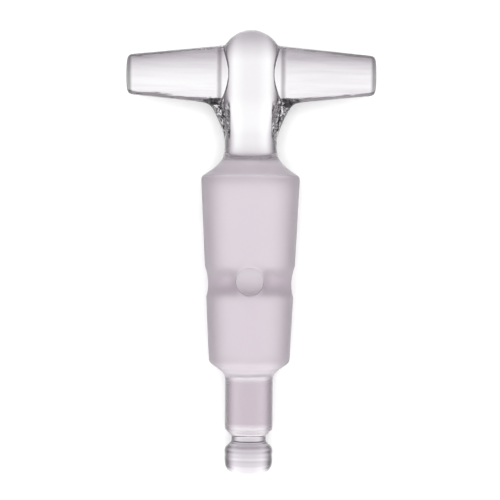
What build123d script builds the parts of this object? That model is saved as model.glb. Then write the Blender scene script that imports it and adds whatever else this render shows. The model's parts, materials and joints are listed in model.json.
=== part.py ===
from build123d import *
from math import atan, cos, degrees, radians, tan
import os

# The plug of a three-way glass stopcock: one solid piece of glass, in millimetres.
# It is drawn upright first: its axis is Z, the large end of its ground zone is at height 0,
# its handle's arms lie along X, and the mouth of its branch bore faces -Y.

# Ground zone, the taper that seats in the barrel: 1 in 10 on the diameter
large_end_d = 14.5
taper = 10.0
ground_length = 27.1
upper_rim_round = 0.5
lower_rim_round = 0.4

# T-bore: a bore from side to side, and a branch from its middle out to the front
bore_d = 4.0
bore_drop = 15.3
seam_turn = 45.0

# Shoulder over the large end, sloping in to the neck
shoulder_slope = 33.0
neck_d = 7.5
neck_hollow = 4.6
column_start = 6.1

# Handle: a domed upright hub with two tapering arms, oval in section (height, depth)
handle_height = 14.95
hub_d = 8.8
hub_blend = 6.0
hub_start_drop = 3.4
crown_rise = 6.6
arm_span = 36.5
arm_root_size = (8.5, 6.0)
arm_tip_size = (5.8, 4.4)
arm_end_round = 0.6

# Webs, a flattened flare from the neck up into the undersides of the arms
web_start = 4.4
web_inset = 0.05
web_spread = 13.6
web_curve = 1.6
web_foot_depth = 5.2
web_top_depth = 3.6
web_bite = 1.15
web_steps = 3

# Tail, which carries the washer and the clip or nut that draw the plug into its barrel
tail_d = 7.0
tail_drop = 1.7
tail_length = 8.1
tail_foot_round = 0.5

# Retaining groove near the tail's end, and the bead below it, which lets the washer pass
groove_depth = 0.95
groove_mouth = 2.7
groove_floor = 0.9
groove_round = 0.3
bead_clearance = 0.05
bead_length = 3.7
bead_round = 2.2

NODE = "stopcock_plug"

half_angle = degrees(atan(0.5 / taper))
large_r = large_end_d / 2
small_r = large_r - 0.5 / taper * ground_length
apex_drop = large_r / (0.5 / taper)
neck_r = neck_d / 2
hub_r = hub_d / 2
tail_r = tail_d / 2
bead_r = tail_r - bead_clearance
groove_r = tail_r - groove_depth

tail_top = -ground_length - tail_drop
tail_end = tail_top - tail_length
bead_top = tail_end - groove_mouth
tip = bead_top - bead_length
crown_height = handle_height + crown_rise


def turned_body():
    """The round part of the plug: bead, groove, tail, ground zone, shoulder, neck and domed hub."""
    groove_slant = (groove_mouth - groove_floor) / 2
    slope_width = large_r - neck_r
    slope_length = slope_width / cos(radians(shoulder_slope))
    slope_turn = radians(90 - shoulder_slope)
    widest_hollow = 0.85 * slope_length / tan(slope_turn / 2)
    corners = [
        ((bead_r, tip), bead_round),
        ((bead_r, bead_top), groove_round),
        ((groove_r, bead_top + groove_slant), groove_round),
        ((groove_r, tail_end - groove_slant), groove_round),
        ((tail_r, tail_end), groove_round),
        ((tail_r, tail_top), tail_foot_round),
        ((small_r, -ground_length), lower_rim_round),
        ((large_r, 0), upper_rim_round),
        ((neck_r, slope_width * tan(radians(shoulder_slope))), min(neck_hollow, widest_hollow)),
        ((neck_r, column_start), hub_blend),
        ((hub_r, handle_height - hub_start_drop), hub_blend),
        ((hub_r, crown_height), hub_r),
    ]
    points = [(0, tip)] + [point for point, _ in corners] + [(0, crown_height)]
    outline = FilletPolyline(*points, radius=[round_r for _, round_r in corners])
    section = make_face(outline + Line((0, crown_height), (0, tip)))
    return revolve(Plane.XZ * section, Axis.Z)


def arms():
    """Both arms: ovals that shrink from the hub to the tips, whose flat ends are rounded at the edge."""
    reach = arm_span / 2

    def oval(x):
        """The arm's section at distance x from the plug's axis."""
        share = (reach - x) / (reach - hub_r)
        size = [tip_size + (root - tip_size) * share for root, tip_size in zip(arm_root_size, arm_tip_size)]
        return Plane((x, 0, handle_height), x_dir=(0, 0, 1), z_dir=(1, 0, 0)) * Ellipse(size[0] / 2, size[1] / 2)

    arm = loft([oval(0), oval(reach)], ruled=True)
    end_edge = arm.faces().sort_by(Axis.X)[-1].edges()
    arm = fillet(end_edge, arm_end_round)
    return arm + mirror(arm, Plane.YZ)


def webs():
    """The webs on both sides as one oval flare, which runs through the column between them."""
    web_end = handle_height - arm_root_size[0] / 2 + web_bite
    foot_width = neck_d - 2 * web_inset

    def oval(step):
        """The flare's section, a number of steps up from its foot."""
        rise = step / web_steps
        width = foot_width + (web_spread - foot_width) * rise**web_curve
        depth = web_foot_depth + (web_top_depth - web_foot_depth) * rise
        return Plane.XY.offset(web_start + (web_end - web_start) * rise) * Ellipse(width / 2, depth / 2)

    return loft([oval(step) for step in range(web_steps + 1)])


def t_bore():
    """The through bore along X, and the branch bore that leaves its middle towards the front.

    Each cylinder's seam is turned away from the curves in which the two bores meet.
    """
    from_middle = (Align.CENTER, Align.CENTER, Align.MIN)
    through = Rot(0, 90, 0) * Rot(0, 0, seam_turn) * Cylinder(bore_d / 2, 2 * large_end_d)
    branch = Rot(90, 0, 0) * Rot(0, 0, seam_turn) * Cylinder(bore_d / 2, large_end_d, align=from_middle)
    return Pos(0, 0, -bore_drop) * (through + branch)


def laid_down(plug):
    """The plug as it comes to rest: on the side of its ground zone, arms level and branch bore up.

    A cone rests along one side with its apex on the table, so the plug's axis rises towards the
    handle by half the taper's angle. The origin is on the table under the middle of the plug.
    """
    resting = Rot(half_angle - 90, 0, 0) * Pos(0, 0, apex_drop) * plug
    middle = resting.bounding_box().center()
    return Pos(-middle.X, -middle.Y, 0) * resting


plug = laid_down(turned_body() + arms() + webs() - t_bore())
plug.label = NODE
os.makedirs("parts", exist_ok=True)
export_step(plug, f"parts/{NODE}.step")
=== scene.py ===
import json
from math import radians, tan

import bpy
from mathutils import Matrix, Vector


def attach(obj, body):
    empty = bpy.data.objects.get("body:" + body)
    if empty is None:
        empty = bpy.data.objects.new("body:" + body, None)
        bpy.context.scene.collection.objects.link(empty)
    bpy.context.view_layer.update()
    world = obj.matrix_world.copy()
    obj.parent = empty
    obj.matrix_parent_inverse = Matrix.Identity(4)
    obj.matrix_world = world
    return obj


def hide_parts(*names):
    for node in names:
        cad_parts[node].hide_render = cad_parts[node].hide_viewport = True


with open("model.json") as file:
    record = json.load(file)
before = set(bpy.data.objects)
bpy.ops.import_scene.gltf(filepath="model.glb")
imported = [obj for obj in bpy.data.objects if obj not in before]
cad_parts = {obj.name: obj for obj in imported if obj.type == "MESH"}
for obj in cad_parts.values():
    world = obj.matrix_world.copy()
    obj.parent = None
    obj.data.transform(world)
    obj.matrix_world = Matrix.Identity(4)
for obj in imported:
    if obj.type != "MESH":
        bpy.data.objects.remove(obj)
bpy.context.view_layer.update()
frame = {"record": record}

record = frame["record"]
mounts = {mount["name"]: mount for mount in record["mounts"]}

MM = 0.001

# The plug's own directions as it lies: up its axis to the handle, and out of its branch bore.
large_end = Vector(mounts["ground_taper"]["pos_m"])
up_axis = -Vector(mounts["ground_taper"]["axis"]).normalized()
out_front = Vector(mounts["branch_bore"]["axis"]).normalized()

# Sizes of the glass in millimetres, heights counted from the large end of the ground zone.
GLASS_SIZES = {
    "Large end radius": 7.25,
    "Taper slope": 0.05,
    "Ground length": 27.1,
    "Upper rim softness": 0.6,
    "Lower rim softness": 0.6,
    "Shoulder slope": tan(radians(33)),
    "Neck radius": 3.75,
    "Neck hollow": 3.0,
    "Column start": 6.1,
    "Hub radius": 4.4,
    "Hub start": 11.55,
    "Crown height": 21.53,
    "Handle height": 14.95,
    "Arm reach": 18.24,
    "Arm root half height": 4.25,
    "Arm tip half height": 2.9,
    "Arm root half depth": 3.0,
    "Arm tip half depth": 2.2,
    "Arm end softness": 1.2,
    "Hub blend": 0.35,
    "Web foot height": 4.4,
    "Web bite": 1.15,
    "Web foot half width": 3.7,
    "Web spread half width": 6.8,
    "Web curve": 1.6,
    "Web foot half depth": 2.6,
    "Web top half depth": 1.8,
    "Web blend": 0.8,
    "Tail radius": 3.5,
    "Tail drop": 1.7,
    "Tail length": 8.1,
    "Tail blend": 1.1,
    "Groove radius": 2.55,
    "Groove mouth": 2.7,
    "Groove floor": 0.9,
    "Groove softness": 0.45,
    "Bead length": 3.7,
    "Bead softness": 2.6,
    "Bore radius": mounts["through_bore"]["dims"]["r_mm"],
    "Bore drop": 15.3,
    "Bore edge softness": 0.6,
}


class Wire:
    """A socket of a node tree. Arithmetic on it adds Math nodes, and node() adds any other."""

    def __init__(self, tree, socket):
        self.tree = tree
        self.socket = socket

    def node(self, kind, inputs=(), out=0, **settings):
        made = self.tree.nodes.new(kind)
        for name, value in settings.items():
            setattr(made, name, value)
        for name, value in inputs.items() if isinstance(inputs, dict) else enumerate(inputs):
            if isinstance(value, Wire):
                self.tree.links.new(value.socket, made.inputs[name])
            else:
                made.inputs[name].default_value = value
        return Wire(self.tree, made.outputs[out])

    def math(self, operation, *values):
        return self.node("ShaderNodeMath", values, operation=operation)

    def __add__(self, other):
        return self.math("ADD", self, other)

    def __radd__(self, other):
        return self.math("ADD", other, self)

    def __sub__(self, other):
        return self.math("SUBTRACT", self, other)

    def __rsub__(self, other):
        return self.math("SUBTRACT", other, self)

    def __mul__(self, other):
        return self.math("MULTIPLY", self, other)

    def __rmul__(self, other):
        return self.math("MULTIPLY", other, self)

    def __truediv__(self, other):
        return self.math("DIVIDE", self, other)

    def __rtruediv__(self, other):
        return self.math("DIVIDE", other, self)

    def __pow__(self, other):
        return self.math("POWER", self, other)

    def __neg__(self):
        return self.math("MULTIPLY", self, -1.0)

    def __abs__(self):
        return self.math("ABSOLUTE", self)

    def least(self, other, soft=0.0):
        return self.math("SMOOTH_MIN", self, other, soft)

    def most(self, other, soft=0.0):
        return self.math("SMOOTH_MAX", self, other, soft)

    def ramp(self, start, end, low=0.0, high=1.0):
        """Low up to start, high from end on, and a smooth change between them."""
        values = (self, start, end, low, high)
        return self.node("ShaderNodeMapRange", values, interpolation_type="SMOOTHSTEP")


def length(*parts):
    total = parts[0] * parts[0]
    for part in parts[1:]:
        total = total + part * part
    return total.math("SQRT", total)


def sloped(rise, slope):
    """The distance from a straight slope, given how far a point is above it along the axis."""
    return rise / (slope * slope + 1.0).math("SQRT", slope * slope + 1.0)


# ---------------------------------------------------------------- the glass itself


def new_tree(name, inputs, output):
    """An empty geometry tree, with its inputs as wires and its one output socket."""
    tree = bpy.data.node_groups.new(name, "GeometryNodeTree")
    for label, kind, value in inputs:
        made = tree.interface.new_socket(label, in_out="INPUT", socket_type=kind)
        if value is not None:
            made.default_value = value
    tree.interface.new_socket(output[0], in_out="OUTPUT", socket_type=output[1])
    given = tree.nodes.new("NodeGroupInput")
    wires = {label: Wire(tree, given.outputs[label]) for label, _, _ in inputs}
    return tree, wires, tree.nodes.new("NodeGroupOutput").inputs[0]


SIZE_INPUTS = [(name, "NodeSocketFloat", size) for name, size in GLASS_SIZES.items()]


def ground_body(s, across, z):
    """The ground cone between its two sloping shoulders."""
    side = across - (s["Large end radius"] + z * s["Taper slope"])
    upper = sloped(z - (s["Large end radius"] - across) * s["Shoulder slope"], s["Shoulder slope"])
    small = s["Large end radius"] - s["Ground length"] * s["Taper slope"]
    slope = s["Tail drop"] / (small - s["Tail radius"])
    lower = sloped(-z - s["Ground length"] - (small - across) * slope, slope)
    return side.most(upper, s["Upper rim softness"]).most(lower, s["Lower rim softness"])


def column(s, x, y, z):
    """The neck, which widens into the hub and ends in its dome."""
    radius = z.ramp(s["Column start"], s["Hub start"], s["Neck radius"], s["Hub radius"])
    above_dome_centre = (z - (s["Crown height"] - s["Hub radius"])).most(0.0)
    return (length(x, y, above_dome_centre) - radius).most(-z - 2.0)


def oval_distance(across, half_width, depth, half_depth):
    return (length(across / half_width, depth / half_depth) - 1.0) * half_depth


def handle_arms(s, x, y, z):
    """Two arms that shrink towards their flat ends."""
    out = abs(x)
    share = (s["Arm reach"] - out) / (s["Arm reach"] - s["Hub radius"])
    height = s["Arm tip half height"] + (s["Arm root half height"] - s["Arm tip half height"]) * share
    depth = s["Arm tip half depth"] + (s["Arm root half depth"] - s["Arm tip half depth"]) * share
    arm = oval_distance(z - s["Handle height"], height, y, depth)
    return arm.most(out - s["Arm reach"], s["Arm end softness"])


def webs(s, x, y, z):
    """The flattened flare from the neck up into the undersides of the arms."""
    end = s["Handle height"] - s["Arm root half height"] + s["Web bite"]
    rise = ((z - s["Web foot height"]) / (end - s["Web foot height"])).most(0.0)
    width = s["Web foot half width"] + (s["Web spread half width"] - s["Web foot half width"]) * (
        rise ** s["Web curve"]
    )
    depth = s["Web foot half depth"] + (s["Web top half depth"] - s["Web foot half depth"]) * rise
    return oval_distance(x, width, y, depth).most(z - end - 0.6).most(s["Web foot height"] - 0.8 - z)


def tail(s, across, z):
    """The plain tail, its retaining groove and the bead at its tip."""
    tail_end = -s["Ground length"] - s["Tail drop"] - s["Tail length"]
    tip = tail_end - s["Groove mouth"] - s["Bead length"]
    from_middle = abs(z - (tail_end - s["Groove mouth"] * 0.5))
    slant = (s["Tail radius"] - s["Groove radius"]) * 2.0 / (s["Groove mouth"] - s["Groove floor"])
    wall = s["Groove radius"] + (from_middle - s["Groove floor"] * 0.5).most(0.0, 0.3) * slant
    rod = (across - s["Tail radius"]).most(tip - z, s["Bead softness"])
    return rod.most(sloped(across - wall, slant), s["Groove softness"]).most(z + 20.0)


def distance_to_skin():
    """A node group: how far a point is outside the glass, in millimetres, and below 0 within it."""
    inputs = [("Point", "NodeSocketVector", None)] + SIZE_INPUTS
    tree, s, out = new_tree("distance to skin", inputs, ("Distance", "NodeSocketFloat"))
    point = s["Point"]
    x, y, z = (point.node("ShaderNodeSeparateXYZ", (point,), out=i) for i in range(3))
    across = length(x, y)
    body = ground_body(s, across, z).least(column(s, x, y, z), s["Neck hollow"])
    handle = handle_arms(s, x, y, z).least(webs(s, x, y, z), s["Web blend"])
    body = body.least(handle, s["Hub blend"]).least(tail(s, across, z), s["Tail blend"])
    from_bores = z + s["Bore drop"]
    through = length(y, from_bores) - s["Bore radius"]
    branch = (length(x, from_bores) - s["Bore radius"]).most(y)
    body = body.most(-through.least(branch), s["Bore edge softness"])
    tree.links.new(body.socket, out)
    return tree


def glass_rule(skin, spacing, low, high, settlings):
    """The geometry tree of the plug: a mesh near the skin, whose points are then drawn on to it."""
    inputs = SIZE_INPUTS + [("Glass", "NodeSocketMaterial", None)]
    tree, s, out = new_tree("glass plug", inputs, ("Geometry", "NodeSocketGeometry"))
    sizes = {name: s[name] for name in GLASS_SIZES}
    start = s["Glass"]
    position = start.node("GeometryNodeInputPosition")

    def distance(point):
        return start.node("GeometryNodeGroup", {"Point": point, **sizes}, node_tree=skin)

    def beside(step):
        return start.node("ShaderNodeVectorMath", (position, step), operation="ADD")

    counts = {f"Resolution {n}": round((b - a) / spacing) for n, a, b in zip("XYZ", low, high)}
    field = {"Density": -distance(position), "Background": -1.0, "Min": low, "Max": high, **counts}
    volume = start.node("GeometryNodeVolumeCube", field)
    mesh = start.node("GeometryNodeVolumeToMesh", {"Volume": volume, "Threshold": 0.0})
    nudge = 0.01  # mm to each side of a point, to measure the field's slope
    for _ in range(settlings):
        slopes = []
        for step in Matrix.Identity(3):
            ahead, behind = distance(beside(step * nudge)), distance(beside(step * -nudge))
            slopes.append((ahead - behind) / (2 * nudge))
        square = slopes[0] * slopes[0] + slopes[1] * slopes[1] + slopes[2] * slopes[2]
        pull = -distance(position) / square.most(0.05)
        offset = start.node("ShaderNodeCombineXYZ", [slope * pull for slope in slopes])
        mesh = start.node("GeometryNodeSetPosition", {"Geometry": mesh, "Offset": offset})
    mesh = start.node("GeometryNodeSetShadeSmooth", {"Geometry": mesh})
    mesh = start.node("GeometryNodeRealizeInstances", {"Geometry": mesh})
    mesh = start.node("GeometryNodeSetMaterial", {"Geometry": mesh, "Material": s["Glass"]})
    tree.links.new(mesh.socket, out)
    return tree


def make_plug(glass):
    """The plug as one smooth mesh, drawn upright in millimetres and then laid down in its place."""
    low, high = (-19.0, -8.0, -44.0), (19.0, 8.0, 23.0)
    rule = glass_rule(distance_to_skin(), 0.203, low, high, settlings=3)
    piece = bpy.data.objects.new("glass_plug", bpy.data.meshes.new("glass_plug"))
    bpy.context.scene.collection.objects.link(piece)
    shaping = piece.modifiers.new("glass rule", "NODES")
    shaping.node_group = rule
    sockets = {item.name: item.identifier for item in rule.interface.items_tree if item.in_out == "INPUT"}
    for name, size in GLASS_SIZES.items():
        shaping[sockets[name]] = size
    shaping[sockets["Glass"]] = glass
    depsgraph = bpy.context.evaluated_depsgraph_get()
    mesh = bpy.data.meshes.new_from_object(piece.evaluated_get(depsgraph), depsgraph=depsgraph)
    piece.modifiers.clear()
    piece.data = mesh
    lying = Matrix((Vector((1, 0, 0)), -out_front, up_axis)).transposed().to_4x4()
    mesh.transform(Matrix.Translation(large_end) @ lying @ Matrix.Scale(MM, 4))
    mesh.update()
    return piece


# ---------------------------------------------------------------- materials

# Light that is left after one pass through the glass, by region. Some colours are painted light and shade:
# lighter bore walls and slopes, a darker bead, and dark hub junction lines, web flecks and arm ends.
GROUND_TINT = (0.835, 0.757, 0.82, 1.0)
# Painted light: the bore walls are coloured lighter than the ground surface, which lifts the shade in the
# bores.
BORE_PAINTED_LIGHT = (0.95, 0.90, 0.94, 1.0)
SATIN_TINT = (0.72, 0.63, 0.70, 1.0)
# Painted light: the shoulder and the foot slopes are coloured lighter than the ground glass.
SLOPE_PAINTED_LIGHT = (0.97, 0.90, 0.96, 1.0)
CLEAR_TINT = (0.96, 0.945, 0.965, 1.0)
# Painted shade: the bead is coloured darker than the rest of the clear glass.
BEAD_PAINTED_SHADE = (0.86, 0.82, 0.87, 1.0)
# Painted shade: dark lines where the arms meet the hub.
JUNCTION_PAINTED_SHADE = (0.42, 0.39, 0.42, 1.0)
# Painted shade: dark flecks on the webs, standing in for dark refractions of their pressed surface.
WEB_FLECK_PAINTED_SHADE = (0.22, 0.21, 0.22, 1.0)
STREAK_TINT = (0.84, 0.80, 0.85, 1.0)
# Painted shade: the flat ends of the arms are coloured nearly black.
ARM_END_PAINTED_SHADE = (0.15, 0.145, 0.15, 1.0)


def new_material(name):
    """An empty material, with a wire to start from and its output's surface socket."""
    material = bpy.data.materials.new(name)
    material.use_nodes = True
    tree = material.node_tree
    tree.nodes.clear()
    start = Wire(tree, None)
    return material, start, tree.nodes.new("ShaderNodeOutputMaterial").inputs["Surface"]


def along(position, direction, origin):
    """How far a position lies from origin along direction, in millimetres."""
    reach = position.node("ShaderNodeVectorMath", (position, direction), out="Value", operation="DOT_PRODUCT")
    return (reach - direction.dot(origin)) / MM


def plug_glass():
    """Clear fire-polished glass, finely ground on the taper and satin on the tail, with painted light and
    painted shade in its colours.
    """
    material, start, surface = new_material("borosilicate glass")
    position = start.node("ShaderNodeTexCoord", out="Object")
    height = along(position, up_axis, large_end)

    def grain(size_mm, detail=2.0, out="Fac"):
        """Noise whose features are about size_mm across."""
        return start.node(
            "ShaderNodeTexNoise", {"Vector": position, "Scale": 1 / (size_mm * MM), "Detail": detail}, out=out
        )

    wander = (grain(1.5) - 0.5) * 0.25
    edge = height + wander
    ground = edge.ramp(-28.2, -26.9) * edge.ramp(-0.15, 0.15, 1.0, 0.0)
    satin = edge.ramp(-37.1, -36.3) * edge.ramp(-30.2, -28.7, 1.0, 0.0)
    foot = edge.ramp(-29.6, -28.8) * edge.ramp(-27.8, -27.0, 1.0, 0.0)
    # The shoulder: a light frosting, and its tint is painted light.
    shoulder_haze_and_light = edge.ramp(-0.1, 0.2) * edge.ramp(1.6, 3.2, 1.0, 0.0)

    # A Mix node of colours: 0 is the factor, 6 and 7 the two colours, and output 2 their mix.
    def blend(factor, low, high):
        return start.node("ShaderNodeMix", {0: factor, 6: low, 7: high}, out=2, data_type="RGBA")

    sideways = along(position, Vector((1, 0, 0)), large_end)
    across = length(sideways, along(position, out_front, large_end))
    within = height * GLASS_SIZES["Taper slope"] + GLASS_SIZES["Large end radius"] - across
    # Surfaces well inside the ground cone, the bore walls, get painted light: a lighter tint than the ground
    # glass.
    tint = blend(within.ramp(0.2, 1.8), GROUND_TINT, BORE_PAINTED_LIGHT)
    tint = blend(satin, tint, SATIN_TINT)
    # Painted light: the shoulder and the foot below the ground zone are tinted lighter than the ground glass.
    tint = blend(shoulder_haze_and_light + foot, tint, SLOPE_PAINTED_LIGHT)
    sideways = abs(sideways)
    # Painted shade: dark lines on either side of the hub, where the arms meet it.
    junction_shade = sideways.ramp(4.1, 4.5) * sideways.ramp(4.7, 5.2, 1.0, 0.0) * height.ramp(10.0, 11.0)
    web_zone = height.ramp(5.0, 6.2) * height.ramp(10.0, 11.6, 1.0, 0.0) * sideways.ramp(2.9, 3.5)
    # Painted shade: dark flecks on the webs, standing in for dark refractions of their pressed surface.
    web_shade_flecks = grain(0.55, 1.0).ramp(0.5, 0.6) * web_zone
    bead = height.ramp(-37.6, -36.8, 1.0, 0.0)
    # The bead is painted darker than the clear glass: painted shade on the bead.
    shade = blend(bead, CLEAR_TINT, BEAD_PAINTED_SHADE)
    shade = blend(junction_shade * 0.8, shade, JUNCTION_PAINTED_SHADE)
    drawn = position.node("ShaderNodeVectorMath", (position, (0.04, 1.0, 1.0)), operation="MULTIPLY")
    long_noise = {"Vector": drawn, "Scale": 1 / (1.1 * MM), "Detail": 3.0}
    streaks = start.node("ShaderNodeTexNoise", long_noise, out="Fac")
    shade = blend(web_shade_flecks * 0.85, shade, WEB_FLECK_PAINTED_SHADE)
    arms = sideways.ramp(4.4, 5.6)
    shade = blend(arms * streaks.ramp(0.45, 0.7), shade, STREAK_TINT)
    # Painted shade: the flat arm ends are coloured nearly black.
    shade = blend(sideways.ramp(17.3, 17.8), shade, ARM_END_PAINTED_SHADE)
    fine = grain(0.06, 3.0)
    coarse = grain(0.4)
    grit = {"Strength": 0.25, "Distance": 0.02 * MM, "Height": fine + coarse * 0.5}
    bump = start.node("ShaderNodeBump", grit)
    rings = height.math("SINE", height * 3.1) * bead
    height_of_marks = grain(0.9, 1.0) * web_zone + streaks * arms * 0.12 + rings * 0.13
    wrinkles = start.node("ShaderNodeBump", {"Distance": 0.75 * MM, "Height": height_of_marks})
    clear = start.node(
        "ShaderNodeBsdfPrincipled",
        {
            "Normal": wrinkles,
            "Base Color": shade,
            "Roughness": 0.02,
            "IOR": 1.47,
            "Transmission Weight": 1.0,
        },
    )
    frosted = start.node(
        "ShaderNodeBsdfPrincipled",
        {
            "Base Color": tint,
            "Roughness": 0.5 - satin * 0.28,
            "IOR": 1.47,
            "Transmission Weight": 0.85,
            "Normal": bump,
        },
    )
    share = start.math("MINIMUM", ground + satin * 0.95 + shoulder_haze_and_light * 0.75 + foot * 0.85, 1.0)
    skin = start.node("ShaderNodeMixShader", (share, clear, frosted))
    material.node_tree.links.new(skin.socket, surface)
    return material


def floor_white():
    """Plain white paper."""
    material, start, surface = new_material("white paper")
    position = start.node("ShaderNodeTexCoord", out="Object")
    tooth = start.node("ShaderNodeTexNoise", {"Vector": position, "Scale": 900.0, "Detail": 3.0}, out="Fac")
    bump = start.node("ShaderNodeBump", {"Strength": 0.05, "Distance": 0.02 * MM, "Height": tooth})
    paper = start.node("ShaderNodeBsdfDiffuse", {"Color": (0.97, 0.97, 0.97, 1.0), "Normal": bump})
    material.node_tree.links.new(paper.socket, surface)
    return material


# ---------------------------------------------------------------- stage, light and camera


def make_floor(material):
    half = 1.5
    corners = [(-half, -half, 0), (half, -half, 0), (half, half, 0), (-half, half, 0)]
    mesh = bpy.data.meshes.new("floor")
    mesh.from_pydata(corners, [], [(0, 1, 2, 3)])
    mesh.materials.append(material)
    floor = bpy.data.objects.new("floor", mesh)
    bpy.context.scene.collection.objects.link(floor)
    floor.visible_transmission = False
    return floor


def make_world():
    """White to the eye. Through the glass it is a light box: white below, grey aside and towards the tail,
    and dark above."""
    world = bpy.data.worlds.new("studio")
    world.use_nodes = True
    tree = world.node_tree
    tree.nodes.clear()
    start = Wire(tree, None)
    direction = start.node("ShaderNodeTexCoord", out="Generated")
    sideways, forward, rise = (start.node("ShaderNodeSeparateXYZ", (direction,), out=i) for i in range(3))
    aside = abs(sideways)
    glow = aside.ramp(0.1, 0.4, 1.0, 1.12)
    dark_card = aside.ramp(0.38, 0.86, 1.0, 0.03)
    far_side = aside.ramp(0.9, 0.99, 0.0, 0.65)
    towards_tail = forward.ramp(-0.75, 0.42, 0.42, 1.05)
    overhead = rise.ramp(-0.05, 0.5, 1.0, 0.25)
    box = glow * (dark_card + far_side) * towards_tail * overhead
    through = start.node("ShaderNodeLightPath", out="Is Transmission Ray")
    level = 1.0 - through * (1.0 - box)
    green = level * (level * 0.12 + 0.88)
    colour = start.node("ShaderNodeCombineColor", (level, green, level))
    sky = start.node("ShaderNodeBackground", {"Color": colour, "Strength": 1.0})
    out = tree.nodes.new("ShaderNodeOutputWorld")
    tree.links.new(sky.socket, out.inputs["Surface"])
    bpy.context.scene.world = world


def make_lamp(name, place, target, size, watts):
    data = bpy.data.lights.new(name, "AREA")
    data.shape = "SQUARE"
    data.size = size
    data.energy = watts
    lamp = bpy.data.objects.new(name, data)
    lamp.location = place
    lamp.visible_glossy = False
    lamp.visible_transmission = False
    lamp.rotation_euler = (Vector(target) - Vector(place)).to_track_quat("-Z", "Y").to_euler()
    bpy.context.scene.collection.objects.link(lamp)


def make_camera(view_width, centre_drop, roll):
    """Looks square on to the plug's axis, from the side of its branch bore."""
    data = bpy.data.cameras.new("camera")
    data.sensor_width = 36.0
    data.lens = 120.0
    data.clip_start = 0.01
    distance = view_width * data.lens / data.sensor_width
    target = large_end - up_axis * centre_drop
    camera = bpy.data.objects.new("camera", data)
    right = Vector((1, 0, 0))
    turn = Matrix.Rotation(radians(roll), 3, out_front)
    facing = Matrix((turn @ right, turn @ up_axis, out_front)).transposed().to_4x4()
    camera.matrix_world = Matrix.Translation(target + out_front * distance) @ facing
    bpy.context.scene.collection.objects.link(camera)
    bpy.context.scene.camera = camera


plug = make_plug(plug_glass())
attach(plug, "root")
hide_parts("stopcock_plug")
make_floor(floor_white())

make_world()
make_lamp("overhead softbox", (0.0, -0.03, 0.6), (0, 0, 0), 0.3, 2.0)
make_camera(view_width=73.25 * MM, centre_drop=10.69 * MM, roll=0.45)
bpy.context.scene.view_settings.view_transform = "Standard"
